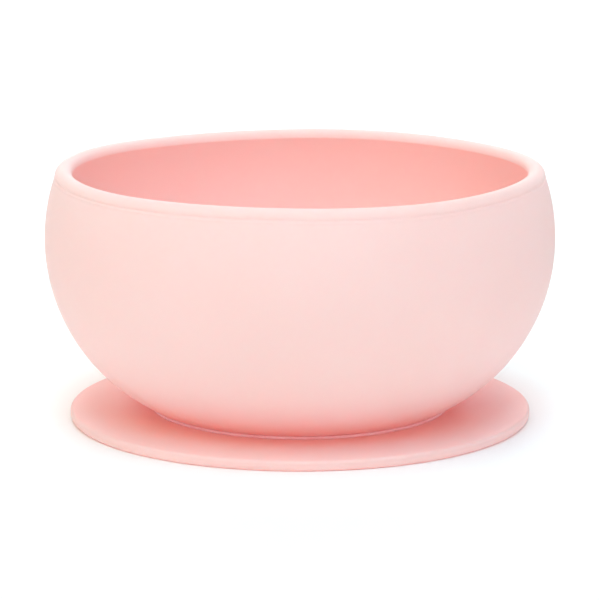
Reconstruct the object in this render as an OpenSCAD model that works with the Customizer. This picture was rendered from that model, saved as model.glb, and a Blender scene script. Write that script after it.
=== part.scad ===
// Suction bowl: a thick-walled round silicone bowl, bonded by a film of
// silicone adhesive to a wide, thin silicone suction base.
// All lengths are in millimetres. +Z is up and is the axis that every piece is
// turned about. The origin is the centre of the base, in the plane it stands on.

/* [Bowl] */
// Outer diameter at the widest point of the wall
bowl_d = 125; // [120:0.5:130]
// Height of the top of the lip above the table
bowl_h = 62.3; // [60:0.1:65]
// Height of the widest point above the table
belly_z = 44.6; // [43:0.1:46]
// Radius of the single arc that the outside of the wall follows in section
belly_arc_r = 45.7; // [44.5:0.1:46.5]
// Wall thickness at the widest point
wall_t = 3.9; // [3.8:0.1:4.2]
// Radius of the single arc that the inside of the wall follows in section
cavity_arc_r = 38.3; // [38:0.1:38.6]
// Thickness of the flat bottom of the bowl
floor_t = 4.2; // [3:0.1:5]

/* [Lip] */
// Thickness of the rolled lip
lip_t = 4.3; // [4.2:0.1:4.8]
// How far the lip stands proud of the outside of the wall
lip_proud = 0.08; // [0.05:0.01:0.2]

/* [Suction base] */
// Outer diameter of the base
base_d = 113.6; // [110:0.2:118]
// Height of the edge
base_edge_t = 2.6; // [2.4:0.1:2.6]
// Radius of the rounding along the top of the edge
base_corner_r = 0.8; // [0.6:0.1:0.9]
// Radius of the rounding along the bottom of the edge
base_under_r = 1.2; // [1:0.1:1.3]
// Height of the flat seat that carries the bowl
seat_z = 2.6; // [2.6:0.1:3.2]
// Diameter of that seat
seat_d = 82; // [80:1:88]
// Width of the flat sealing ring under the edge
seal_w = 6; // [3:0.5:8]
// Height of the recess under the base, which is the room to press it down
recess_h = 1.2; // [1:0.1:1.3]
// Width of the sloping wall between the sealing ring and the recess's ceiling
recess_wall_w = 8; // [6:0.5:8]

/* [Adhesive bond] */
// Thickness of the adhesive film between bowl and base
film_t = 0.2; // [0.2:0.05:0.4]
// Radius of the bead squeezed out round the film
bead_r = 0.4; // [0.35:0.05:0.5]
// How far the centre of the bead lies outside the bowl's bottom edge
bead_out = 1.2; // [1.1:0.05:1.3]

/* [Hidden] */
$fn = 180;

silicone_pink = [0.98, 0.76, 0.73];
cured_adhesive = [0.86, 0.72, 0.74];

// Outside of the bowl
bowl_r = bowl_d / 2;
belly_centre_r = bowl_r - belly_arc_r;
bottom_z = seat_z + film_t;
function outside_r(z) =
    belly_centre_r + sqrt(pow(belly_arc_r, 2) - pow(z - belly_z, 2));

// Inside of the bowl: the arc runs out level into the flat bottom, and meets
// the lip's rounding in a crease just under its top
cavity_z = bottom_z + floor_t;
cavity_centre_r = bowl_r - wall_t - cavity_arc_r;
cavity_centre_z = cavity_z + cavity_arc_r;

// Lip
lip_r = lip_t / 2;
lip_z = bowl_h - lip_r;
lip_centre_r = outside_r(lip_z) + lip_proud - lip_r;

// Suction base: a disc with rounded corners over a shallow flat recess
base_r = base_d / 2;
corner_centre_r = base_r - base_corner_r;
corner_centre_z = base_edge_t - base_corner_r;
under_centre_r = base_r - base_under_r;
seat_r = seat_d / 2;
seal_inner_r = under_centre_r - seal_w;
recess_slope = recess_wall_w / recess_h;
below = 1; // how far the recess is cut on below the table plane

// Adhesive bead, in the wedge between the bowl and the seat
bottom_r = outside_r(bottom_z);
bead_centre_r = bottom_r + bead_out;
bead_centre_z = seat_z + bead_r * 0.9;

// The round section of the bowl's outside, cut off at its flat bottom
module outside_section(top) {
    intersection() {
        translate([belly_centre_r, belly_z]) circle(belly_arc_r);
        translate([0, bottom_z]) square([bowl_r + 1, top - bottom_z]);
    }
}

module cavity_section() {
    translate([cavity_centre_r, cavity_centre_z]) circle(cavity_arc_r);
    translate([0, cavity_z]) square([cavity_centre_r, bowl_h]);
}

module bowl() {
    color(silicone_pink) rotate_extrude() difference() {
        union() {
            outside_section(lip_z);
            translate([lip_centre_r, lip_z]) circle(lip_r, $fn = 48);
        }
        cavity_section();
    }
}

module base_blank_section() {
    polygon([
        [0, 0],
        [under_centre_r, 0],
        [under_centre_r, base_under_r],
        [corner_centre_r, base_under_r],
        [corner_centre_r, base_edge_t],
        [seat_r, seat_z],
        [0, seat_z]
    ]);
    translate([0, base_under_r])
        square([base_r, corner_centre_z - base_under_r]);
    translate([corner_centre_r, corner_centre_z]) circle(base_corner_r, $fn = 32);
    translate([under_centre_r, base_under_r]) circle(base_under_r, $fn = 48);
}

// The recess, carried on below the table plane so that it cuts clean through
module recess_section() {
    polygon([
        [0, -below],
        [seal_inner_r + recess_slope * below, -below],
        [seal_inner_r - recess_wall_w, recess_h],
        [0, recess_h]
    ]);
}

module suction_base() {
    color(silicone_pink) rotate_extrude() difference() {
        base_blank_section();
        recess_section();
    }
}

module adhesive_bond() {
    color(cured_adhesive) rotate_extrude() difference() {
        intersection() {
            union() {
                translate([0, seat_z]) square([bead_centre_r, film_t + bead_r]);
                translate([bead_centre_r, bead_centre_z]) circle(bead_r, $fn = 32);
            }
            translate([0, seat_z]) square([seat_r, 4 * bead_r]);
        }
        outside_section(belly_z);
    }
}

suction_base();
adhesive_bond();
bowl();
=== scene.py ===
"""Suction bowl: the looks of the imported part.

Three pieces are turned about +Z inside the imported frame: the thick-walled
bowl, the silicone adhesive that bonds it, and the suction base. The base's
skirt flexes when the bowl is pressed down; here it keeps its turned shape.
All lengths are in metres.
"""

import math

import bpy
import numpy as np
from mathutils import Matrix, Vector


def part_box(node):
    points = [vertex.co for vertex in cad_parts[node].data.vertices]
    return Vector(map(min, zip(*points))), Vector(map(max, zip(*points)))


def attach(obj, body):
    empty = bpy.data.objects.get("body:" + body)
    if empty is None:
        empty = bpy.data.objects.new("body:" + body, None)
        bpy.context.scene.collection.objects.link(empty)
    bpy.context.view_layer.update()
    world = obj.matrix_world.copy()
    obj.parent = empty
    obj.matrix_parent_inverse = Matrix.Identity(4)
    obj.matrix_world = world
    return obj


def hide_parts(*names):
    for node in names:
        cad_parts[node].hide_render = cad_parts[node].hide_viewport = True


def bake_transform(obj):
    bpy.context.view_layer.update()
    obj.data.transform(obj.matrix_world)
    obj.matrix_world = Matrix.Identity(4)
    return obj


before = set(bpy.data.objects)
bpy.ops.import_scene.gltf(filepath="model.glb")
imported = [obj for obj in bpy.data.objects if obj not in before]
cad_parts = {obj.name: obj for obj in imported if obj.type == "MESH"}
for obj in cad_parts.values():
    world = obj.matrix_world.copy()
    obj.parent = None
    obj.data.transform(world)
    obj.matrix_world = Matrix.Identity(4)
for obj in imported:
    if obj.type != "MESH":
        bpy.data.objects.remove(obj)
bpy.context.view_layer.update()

MM = 0.001

# ---------------------------------------------------------------- measures
# Outer sizes come from the CAD nodes' boxes, the rest are the design's own.

bowl_low, bowl_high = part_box("bowl")
base_low, base_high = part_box("suction_base")
BOWL_R = bowl_high.x
BOWL_TOP = bowl_high.z
BOWL_BOTTOM = bowl_low.z
BASE_R = base_high.x
SEAT_Z = base_high.z

BELLY_Z = 44.6 * MM  # height of the widest point
BELLY_ARC_R = 45.7 * MM  # the outside follows one arc of this radius
WALL_T = 3.9 * MM
FLOOR_T = 4.2 * MM
CAVITY_ARC_R = 38.3 * MM  # the inside follows one arc of this radius
LIP_R = 2.15 * MM  # rounding of the lip, down to a crease with the inside
LIP_PROUD = 0.08 * MM  # how far that rounding stands out of the wall
CREASE_R = 0.25 * MM  # softening of the crease
PARTING_DROP = 2.35 * MM  # parting line, below the top of the lip

BASE_EDGE_T = 2.6 * MM
BASE_CORNER_R = 0.8 * MM  # rounding along the top of the edge
BASE_UNDER_R = 1.2 * MM  # rounding along the bottom of the edge
SEAT_R = 41 * MM
SEAL_W = 6 * MM
RECESS_H = 1.2 * MM
RECESS_WALL_W = 8 * MM

BEAD_R = 0.4 * MM
BEAD_OUT = 1.2 * MM  # centre of the bead, outside the bowl's bottom edge

SEGMENTS = 288  # round the axis


# ---------------------------------------------------------------- helpers


def smooth(share):
    """A share between 0 and 1, eased so that it is level at both ends."""
    share = np.clip(share, 0, 1)
    return share * share * (3 - 2 * share)


def ripples(angle, waves):
    """Waves round the axis, from (height, number round the axis, phase) rows."""
    return sum(
        height * np.sin(number * angle + phase) for height, number, phase in waves
    )


def add_object(name, data):
    """A new object with the given mesh, light or camera, in the scene."""
    new_object = bpy.data.objects.new(name, data)
    bpy.context.scene.collection.objects.link(new_object)
    return new_object


# ---------------------------------------------------------------- sections


def arc(centre, radius, start, end, steps):
    """Points along a round stretch of a section, between two angles in degrees."""
    angles = np.radians(np.linspace(start, end, steps + 1))
    return [
        (centre[0] + radius * math.cos(a), centre[1] + radius * math.sin(a))
        for a in angles
    ]


def line(start, end, steps):
    """Points along a straight stretch of a section, without its two ends."""
    shares = np.linspace(0, 1, steps + 1)[1:-1]
    return [
        (start[0] + (end[0] - start[0]) * s, start[1] + (end[1] - start[1]) * s)
        for s in shares
    ]


def angle_of(centre, point):
    """The angle in degrees at which a point lies from a centre."""
    return math.degrees(math.atan2(point[1] - centre[1], point[0] - centre[0]))


def lathe(name, section, shape=None):
    """A closed solid turned about +Z. The section starts and ends on the axis.
    shape(r, z, angle) gives each point's r and z where it isn't quite round."""
    inner = np.array(section[1:-1])
    angles = np.arange(SEGMENTS) * 2 * math.pi / SEGMENTS
    r, angle = np.meshgrid(inner[:, 0], angles, indexing="ij")
    z = np.meshgrid(inner[:, 1], angles, indexing="ij")[0]
    if shape:
        r, z = shape(r, z, angle)
    ring_points = np.stack([r * np.cos(angle), r * np.sin(angle), z], -1)
    points = [tuple(p) for p in ring_points.reshape(-1, 3)]
    rings = len(inner)
    first_pole = len(points)
    last_pole = first_pole + 1
    points += [(0, 0, section[0][1]), (0, 0, section[-1][1])]
    faces = []
    for j in range(SEGMENTS):
        k = (j + 1) % SEGMENTS
        faces.append((first_pole, k, j))
        for i in range(rings - 1):
            a, b = i * SEGMENTS, (i + 1) * SEGMENTS
            faces.append((a + j, a + k, b + k, b + j))
        last = (rings - 1) * SEGMENTS
        faces.append((last + j, last + k, last_pole))
    mesh = bpy.data.meshes.new(name)
    mesh.from_pydata(points, [], faces)
    mesh.update()
    mesh.shade_smooth()
    return add_object(name, mesh)


# ---------------------------------------------------------------- materials


PINK_LIGHT = (0.985, 0.650, 0.625, 1)
PINK_DEEP = (0.982, 0.630, 0.600, 1)
MAUVE_LIGHT = (0.97, 0.70, 0.75, 1)
MAUVE_DEEP = (0.93, 0.58, 0.62, 1)
SILICONE_IOR = 1.41
BOWL_ROUGHNESS = 0.55
BASE_ROUGHNESS = 0.52
ROUGHNESS_SPREAD = 0.05  # how far a roughness strays either way


def new_material(name):
    """An empty node material, its node tree, and its Principled shader."""
    material = bpy.data.materials.new(name)
    material.use_nodes = True
    tree = material.node_tree
    return material, tree, tree.nodes["Principled BSDF"]


def noise(tree, scale, detail, roughness):
    """A noise texture in the piece's own space, in features per metre."""
    coordinates = tree.nodes.new("ShaderNodeTexCoord")
    texture = tree.nodes.new("ShaderNodeTexNoise")
    texture.inputs["Scale"].default_value = scale
    texture.inputs["Detail"].default_value = detail
    texture.inputs["Roughness"].default_value = roughness
    tree.links.new(coordinates.outputs["Object"], texture.inputs["Vector"])
    return texture.outputs["Fac"]


def colour_ramp(tree, value, stops):
    """Colours by a value, from (value, colour) stops."""
    node = tree.nodes.new("ShaderNodeValToRGB")
    elements = node.color_ramp.elements
    elements[0].position, elements[0].color = stops[0]
    elements[1].position, elements[1].color = stops[-1]
    for position, colour in stops[1:-1]:
        elements.new(position).color = colour
    tree.links.new(value, node.inputs["Fac"])
    return node.outputs["Color"]


def spread(tree, value, low, high):
    """Two colours or greys, spread over the middle of a noise texture's range."""
    return colour_ramp(tree, value, [(0.3, low), (0.7, high)])


def map_range(tree, value, from_low, from_high, to_low=0, to_high=1):
    """A value carried from one range to another, and held at its ends."""
    node = tree.nodes.new("ShaderNodeMapRange")
    node.inputs["From Min"].default_value = from_low
    node.inputs["From Max"].default_value = from_high
    node.inputs["To Min"].default_value = to_low
    node.inputs["To Max"].default_value = to_high
    tree.links.new(value, node.inputs["Value"])
    return node.outputs["Result"]


def grey(value):
    """A grey as a colour with alpha."""
    return (value, value, value, 1)


def bump(tree, height, strength, distance, under=None):
    """Relief from a texture, on top of any relief already there."""
    node = tree.nodes.new("ShaderNodeBump")
    node.inputs["Strength"].default_value = strength
    node.inputs["Distance"].default_value = distance
    tree.links.new(height, node.inputs["Height"])
    if under:
        tree.links.new(under, node.inputs["Normal"])
    return node.outputs["Normal"]


def soften(shader, weight, radius, depth):
    """Light that spreads under the surface of silicone."""
    shader.inputs["Subsurface Weight"].default_value = weight
    shader.inputs["Subsurface Radius"].default_value = radius
    shader.inputs["Subsurface Scale"].default_value = depth
    shader.inputs["IOR"].default_value = SILICONE_IOR


def silicone(name, roughness):
    """Soft-touch moulded silicone: clouded colour, a fine matt grain left by the
    mould, faint long waves, and light that spreads a little under the surface."""
    material, tree, shader = new_material(name)
    clouds = noise(tree, scale=28, detail=3, roughness=0.5)
    colour = spread(tree, clouds, PINK_DEEP, PINK_LIGHT)
    tree.links.new(colour, shader.inputs["Base Color"])
    patches = noise(tree, scale=90, detail=4, roughness=0.6)
    smooth_patch = grey(roughness - ROUGHNESS_SPREAD)
    rough_patch = grey(roughness + ROUGHNESS_SPREAD)
    gloss = spread(tree, patches, smooth_patch, rough_patch)
    tree.links.new(gloss, shader.inputs["Roughness"])
    waves = noise(tree, scale=45, detail=2, roughness=0.4)
    wavy = bump(tree, waves, strength=0.10, distance=0.12 * MM)
    grain = noise(tree, scale=3200, detail=2, roughness=0.5)
    grainy = bump(tree, grain, strength=0.16, distance=0.03 * MM, under=wavy)
    tree.links.new(grainy, shader.inputs["Normal"])
    soften(shader, weight=0.35, radius=(1.0, 0.42, 0.34), depth=2.2 * MM)
    shader.inputs["Specular IOR Level"].default_value = 0.15
    return material


def adhesive(name):
    """Cured clear silicone adhesive over pink: paler, greyer and glossier."""
    material, tree, shader = new_material(name)
    clouds = noise(tree, scale=220, detail=3, roughness=0.6)
    colour = spread(tree, clouds, MAUVE_DEEP, MAUVE_LIGHT)
    tree.links.new(colour, shader.inputs["Base Color"])
    patches = noise(tree, scale=600, detail=2, roughness=0.5)
    gloss = spread(tree, patches, grey(0.25), grey(0.4))
    tree.links.new(gloss, shader.inputs["Roughness"])
    lumps = noise(tree, scale=900, detail=2, roughness=0.5)
    lumpy = bump(tree, lumps, strength=0.3, distance=0.05 * MM)
    tree.links.new(lumpy, shader.inputs["Normal"])
    soften(shader, weight=0.3, radius=(1.0, 0.7, 0.7), depth=0.6 * MM)
    return material


bowl_silicone = silicone("bowl_silicone", BOWL_ROUGHNESS)
base_silicone = silicone("base_silicone", BASE_ROUGHNESS)
bond_silicone = adhesive("bond_silicone")


def dress(piece, material):
    """Give a piece its material, in a single material slot."""
    piece.data.materials.clear()
    piece.data.materials.append(material)


# ---------------------------------------------------------------- bowl

belly_centre = (BOWL_R - BELLY_ARC_R, BELLY_Z)
cavity_bottom = BOWL_BOTTOM + FLOOR_T
cavity_centre = (BOWL_R - WALL_T - CAVITY_ARC_R, cavity_bottom + CAVITY_ARC_R)
PARTING_Z = BOWL_TOP - PARTING_DROP


def outside_r(z):
    """Radius of the bowl's outside at a height."""
    return belly_centre[0] + math.sqrt(BELLY_ARC_R**2 - (z - BELLY_Z) ** 2)


def meet(centre, reach, other_centre, other_reach):
    """The point at given distances from two centres, on the left of the line
    from the first to the second."""
    across = other_centre[0] - centre[0]
    up = other_centre[1] - centre[1]
    apart = math.hypot(across, up)
    along = (reach**2 - other_reach**2 + apart**2) / (2 * apart)
    aside = math.sqrt(reach**2 - along**2)
    return (
        centre[0] + (along * across - aside * up) / apart,
        centre[1] + (along * up + aside * across) / apart,
    )


FINE_WALL = 1.8  # degrees of wall under the parting line that are finely cut
FINE_LIP = 22  # the lip's rounding is finely cut up to this angle, in degrees


def bowl_section():
    """The bowl's section from the underside's centre to the cavity's centre. The
    last number of each line and arc is the number of steps it is cut into."""
    lip_z = BOWL_TOP - LIP_R
    lip = (outside_r(lip_z) + LIP_PROUD - LIP_R, lip_z)
    crease = meet(cavity_centre, CAVITY_ARC_R + CREASE_R, lip, LIP_R - CREASE_R)
    foot = (outside_r(BOWL_BOTTOM), BOWL_BOTTOM)
    foot_angle = angle_of(belly_centre, foot)
    parting = angle_of(belly_centre, (outside_r(PARTING_Z), PARTING_Z))
    lip_start = math.degrees(math.asin((PARTING_Z - lip_z) / LIP_R))
    lip_end = angle_of(lip, crease)
    crease_end = angle_of(cavity_centre, crease)
    fine_start = parting - FINE_WALL
    return (
        [(0, BOWL_BOTTOM)]
        + line((0, BOWL_BOTTOM), foot, 16)
        + arc(belly_centre, BELLY_ARC_R, foot_angle, fine_start, 96)
        + arc(belly_centre, BELLY_ARC_R, fine_start, parting, 32)[1:-1]
        + arc(lip, LIP_R, lip_start, FINE_LIP, 20)
        + arc(lip, LIP_R, FINE_LIP, lip_end, 46)[1:]
        + arc(crease, CREASE_R, lip_end, 180 + crease_end, 5)[1:]
        + arc(cavity_centre, CAVITY_ARC_R, crease_end, -90, 110)[1:]
        + line((cavity_centre[0], cavity_bottom), (0, cavity_bottom), 10)
        + [(0, cavity_bottom)]
    )


SEAM_H = 0.10 * MM  # relief of the parting line, in and out
SEAM_GAP = 0.26 * MM  # from the parting line to its groove, and to its ridge
SEAM_W = 0.26 * MM  # softness of both
SEAM_LEAST = 0.45  # share of the relief that is left in front and at the back
SEAM_MORE = 0.5  # share that is added to it at the two sides
SEAM_NICKS = [(0.05, 17, 0)]  # uneven trimming, as shares
SEAM_DIP = 0.4 * MM  # how far the parting line dips in front and at the back
SEAM_WANDER = [(0.05 * MM, 7, 0)]
SEAM_BAND = 4 * MM  # further in than this from the widest radius is the inside

LIP_DROP = 0.10 * MM  # of the whole lip, below the level one
LIP_WAVES = [
    (0.19 * MM, 2, math.pi / 2 - 0.1),
    (0.20 * MM, 4, math.pi / 2 + 0.84),
]
WAVER_Z = 35 * MM  # above this height the soft wall is free to waver


def seam(above, angle):
    """The relief across the parting line: a ridge of flash under it and a groove
    over it. The flash is trimmed closer in front and at the back."""
    groove = np.exp(-(((above - SEAM_GAP) / SEAM_W) ** 2))
    ridge = np.exp(-(((above + SEAM_GAP) / SEAM_W) ** 2))
    kept = SEAM_LEAST + SEAM_MORE * np.cos(angle) ** 2 + ripples(angle, SEAM_NICKS)
    return SEAM_H * kept * (ridge - groove)


def bowl_shape(r, z, angle):
    """The parting line wanders a little, and the lip isn't quite level, because
    a silicone bowl is soft."""
    wander = ripples(angle, SEAM_WANDER) - SEAM_DIP * np.sin(angle) ** 2
    outside = r > BOWL_R - SEAM_BAND
    seam_r = r + outside * seam(z - PARTING_Z - wander, angle)
    free = smooth((z - WAVER_Z) / (BOWL_TOP - WAVER_Z))
    return seam_r, z + free * (ripples(angle, LIP_WAVES) - LIP_DROP)


bowl = lathe("bowl_shell", bowl_section(), bowl_shape)
dress(bowl, bowl_silicone)
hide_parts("bowl")
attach(bowl, "bowl")

# ---------------------------------------------------------------- base

SEAL_INNER_R = BASE_R - BASE_UNDER_R - SEAL_W
CEILING_R = SEAL_INNER_R - RECESS_WALL_W


def recess_share(r):
    """The recess's height at a radius, as a share of its full height."""
    return smooth((SEAL_INNER_R - r) / RECESS_WALL_W)


def base_section():
    """The base's section from the recess's centre to the seat's centre. The last
    number of each line and arc is the number of steps it is cut into."""
    corner_r = BASE_R - BASE_CORNER_R
    under_r = BASE_R - BASE_UNDER_R
    low_corner = (under_r, BASE_UNDER_R)
    high_corner = (corner_r, BASE_EDGE_T - BASE_CORNER_R)
    slope_r = np.linspace(CEILING_R, SEAL_INNER_R, 25)
    slope = [(r, RECESS_H * float(recess_share(r))) for r in slope_r]
    return (
        [(0, RECESS_H)]
        + line((0, RECESS_H), (CEILING_R, RECESS_H), 14)
        + slope
        + line((SEAL_INNER_R, 0), (under_r, 0), 6)
        + arc(low_corner, BASE_UNDER_R, -90, 0, 8)
        + line((BASE_R, BASE_UNDER_R), (BASE_R, high_corner[1]), 5)
        + arc(high_corner, BASE_CORNER_R, 0, 90, 12)
        + line((corner_r, SEAT_Z), (SEAT_R, SEAT_Z), 24)
        + [(SEAT_R, SEAT_Z)]
        + line((SEAT_R, SEAT_Z), (0, SEAT_Z), 14)
        + [(0, SEAT_Z)]
    )


def bend_with_press(piece):
    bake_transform(piece)


base = lathe("suction_disc", base_section())
dress(base, base_silicone)
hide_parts("suction_base")
bend_with_press(base)

# ---------------------------------------------------------------- adhesive

FILM_EDGE_R = outside_r(BOWL_BOTTOM)
BEAD_LIFT = 0.9 * BEAD_R  # centre of the bead above the seat
BEAD_START, BEAD_END = -62, 100  # degrees of the bead's rounding that are seen
BEAD_WALL = 0.35 * BEAD_R  # where the bead meets the bowl, in from its centre
BEAD_WAVES = [
    (0.108 * BEAD_R, 4, 1.1),
    (0.084 * BEAD_R, 9, 0.3),
    (0.048 * BEAD_R, 23, 0),
    (0.036 * BEAD_R, 41, 2),
]
bead_centre = (FILM_EDGE_R + BEAD_OUT, SEAT_Z + BEAD_LIFT)


def bond_section():
    """The film under the bowl, and the bead squeezed out round it. The last
    number of each line and arc is the number of steps it is cut into."""
    wall_r = bead_centre[0] - BEAD_WALL
    wall_z = BELLY_Z - math.sqrt(BELLY_ARC_R**2 - (wall_r - belly_centre[0]) ** 2)
    film_edge = (FILM_EDGE_R, BOWL_BOTTOM)
    return (
        [(0, SEAT_Z)]
        + line((0, SEAT_Z), (bead_centre[0], SEAT_Z), 12)
        + arc(bead_centre, BEAD_R, BEAD_START, BEAD_END, 20)
        + [(wall_r, wall_z)]
        + line((wall_r, wall_z), film_edge, 4)
        + [film_edge]
        + line(film_edge, (0, BOWL_BOTTOM), 10)
        + [(0, BOWL_BOTTOM)]
    )


def bond_shape(r, z, angle):
    """The bead is squeezed out by hand, so its width wavers round the bowl."""
    at_bead = np.clip((r - FILM_EDGE_R) / BEAD_OUT, 0, 1)
    return r + at_bead * ripples(angle, BEAD_WAVES), z


bond = lathe("adhesive_bead", bond_section(), bond_shape)
dress(bond, bond_silicone)
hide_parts("adhesive_bond")
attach(bond, "bowl")

# ---------------------------------------------------------------- stage


FLOOR_REACH = 6  # from the middle to each side
GLOW_START, GLOW_END = 0.7, 1.8  # distances between which the glow grows
GLOW_NEAR, GLOW_FAR = 0.03, 0.9  # the glow before and after that
SOFTBOX_SIDE = 1.0


def make_floor():
    """A pale floor. Far from the bowl it glows, so that it runs out to white
    where the softboxes no longer light it."""
    mesh = bpy.data.meshes.new("floor")
    signs = [(-1, -1), (1, -1), (1, 1), (-1, 1)]
    corners = [(x * FLOOR_REACH, y * FLOOR_REACH, 0) for x, y in signs]
    mesh.from_pydata(corners, [], [(0, 1, 2, 3)])
    floor = add_object("floor", mesh)
    material, tree, shader = new_material("pale_floor")
    clouds = noise(tree, scale=3, detail=2, roughness=0.5)
    tone = spread(tree, clouds, grey(0.96), grey(0.98))
    tree.links.new(tone, shader.inputs["Base Color"])
    shader.inputs["Roughness"].default_value = 0.9
    shader.inputs["Specular IOR Level"].default_value = 0.2
    shader.inputs["Emission Color"].default_value = grey(1)
    coordinates = tree.nodes.new("ShaderNodeTexCoord")
    distance = tree.nodes.new("ShaderNodeVectorMath")
    distance.operation = "LENGTH"
    tree.links.new(coordinates.outputs["Object"], distance.inputs[0])
    glow = map_range(
        tree, distance.outputs["Value"], GLOW_START, GLOW_END, GLOW_NEAR, GLOW_FAR
    )
    tree.links.new(glow, shader.inputs["Emission Strength"])
    mesh.materials.append(material)


def make_softbox(name, place, power, colour):
    """A square area light that faces the middle of the bowl."""
    light = bpy.data.lights.new(name, "AREA")
    light.shape = "SQUARE"
    light.size = SOFTBOX_SIDE
    light.energy = power
    light.color = colour
    lamp = add_object(name, light)
    lamp.location = place
    ahead = Vector((0, 0, BOWL_TOP / 2)) - Vector(place)
    lamp.rotation_euler = ahead.to_track_quat("-Z", "Y").to_euler()


def sky_part(tree, height, stops):
    """Brightness by the height a ray points to, from (height, brightness) stops."""
    return colour_ramp(tree, height, [(at, grey(value)) for at, value in stops])


def make_world(back, front):
    """A white sky whose back half and front half differ in brightness."""
    world = bpy.data.worlds.new("studio")
    world.use_nodes = True
    tree = world.node_tree
    coordinates = tree.nodes.new("ShaderNodeTexCoord")
    direction = tree.nodes.new("ShaderNodeSeparateXYZ")
    tree.links.new(coordinates.outputs["Generated"], direction.inputs["Vector"])
    backward = map_range(tree, direction.outputs["Y"], -SKY_BLEND, SKY_BLEND)
    mix = tree.nodes.new("ShaderNodeMix")
    mix.data_type = "RGBA"
    sides = [socket for socket in mix.inputs if socket.type == "RGBA"]
    tree.links.new(backward, mix.inputs["Factor"])
    tree.links.new(sky_part(tree, direction.outputs["Z"], front), sides[0])
    tree.links.new(sky_part(tree, direction.outputs["Z"], back), sides[1])
    result = [socket for socket in mix.outputs if socket.type == "RGBA"][0]
    tree.links.new(result, tree.nodes["Background"].inputs["Color"])
    bpy.context.scene.world = world


# Brightness of the sky by the height a ray points to. It is white behind the
# bowl. In front it is dim above the horizon, with a bright ring over that.
# Overhead it is dark, where the softboxes are. Between the two halves it blends.
SKY_BLEND = 0.5
SKY_BACK = [(0.10, 1.0), (0.20, 1.03), (0.40, 1.03), (0.44, 0.0)]
SKY_FRONT = [
    (0.03, 1.0),
    (0.045, 0.15),
    (0.10, 0.15),
    (0.20, 1.22),
    (0.40, 1.22),
    (0.44, 0.0),
]

# Name, place, power in watts and colour of each softbox
SOFTBOXES = [
    ("top", (0, 0, 1.5), 9.8, (0.80, 1, 0.98)),
    ("back_low", (0, 1.7, 0.25), 4.0, (1.25, 1, 1.13)),
    ("back_high", (0, 1.2, 1.2), 8.6, (0.85, 1, 0.99)),
    ("front_high", (0, -0.9, 1.6), 13.2, (0.62, 1, 1.18)),
    ("front_mid", (0, -1.5, 1.0), 3.6, (1.1, 1, 0.72)),
    ("left_high", (-1.2, -0.4, 1.2), 2.7, (1.5, 1, 0.45)),
    ("right_high", (1.2, -0.4, 1.2), 0.8, (1.4, 0.4, 0.8)),
]

make_floor()
make_world(SKY_BACK, SKY_FRONT)
for softbox in SOFTBOXES:
    make_softbox(*softbox)

# ---------------------------------------------------------------- camera

CAMERA_ELEVATION = math.radians(12)
CAMERA_DISTANCE = 0.805
CAMERA_TARGET_Z = 28.7 * MM
CAMERA_CLIP_START = 0.05
LENS_MM = 195.93
SENSOR_MM = 36


def make_camera():
    """A long lens that looks down on the middle of the bowl from the front."""
    data = bpy.data.cameras.new("camera")
    data.lens = LENS_MM
    data.sensor_width = SENSOR_MM
    data.clip_start = CAMERA_CLIP_START
    camera = add_object("camera", data)
    camera.location = (
        0,
        -CAMERA_DISTANCE * math.cos(CAMERA_ELEVATION),
        CAMERA_TARGET_Z + CAMERA_DISTANCE * math.sin(CAMERA_ELEVATION),
    )
    camera.rotation_euler = (math.pi / 2 - CAMERA_ELEVATION, 0, 0)
    bpy.context.scene.camera = camera


make_camera()
scene = bpy.context.scene
scene.view_settings.view_transform = "Standard"
scene.cycles.use_denoising = True
scene.cycles.max_bounces = 24  # pale silicone passes much light on
scene.cycles.diffuse_bounces = 16
